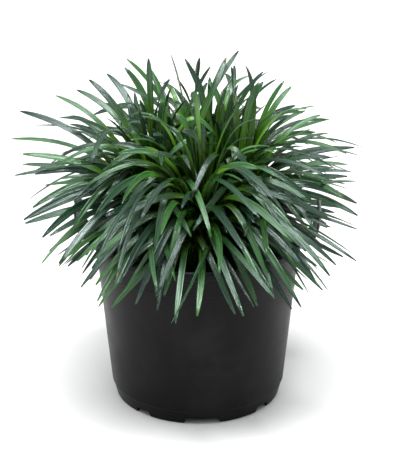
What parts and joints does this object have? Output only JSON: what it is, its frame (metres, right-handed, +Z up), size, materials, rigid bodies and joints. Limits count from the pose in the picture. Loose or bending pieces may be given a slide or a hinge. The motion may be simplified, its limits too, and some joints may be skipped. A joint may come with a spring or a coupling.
{
  "type": "potted dwarf mondo grass",
  "caption": "Dwarf mondo grass in a black nursery pot: dense tufts of narrow arching leaves over a tapered pot with a rim band, two lifting ears and a notched foot.",
  "frame": {"origin": "on the ground, under the middle of the whole plant's width and depth", "axes": "+Z up; -Y is the front of the picture, +X its right"},
  "size_m": [0.2472, 0.2446, 0.246],
  "materials": {
    "pot_plastic": "black moulded plastic with a faint satin sheen",
    "potting_soil": "dark crumbly potting mix of bark and peat",
    "leaf": "smooth leathery dark green leaf with a soft gloss"
  },
  "bodies": {
    "root": {"pot": "pot_plastic", "soil": "potting_soil", "tuft_left": "leaf", "tuft_right": "leaf", "tuft_front": "leaf", "tuft_back": "leaf"}
  },
  "joints": []
}
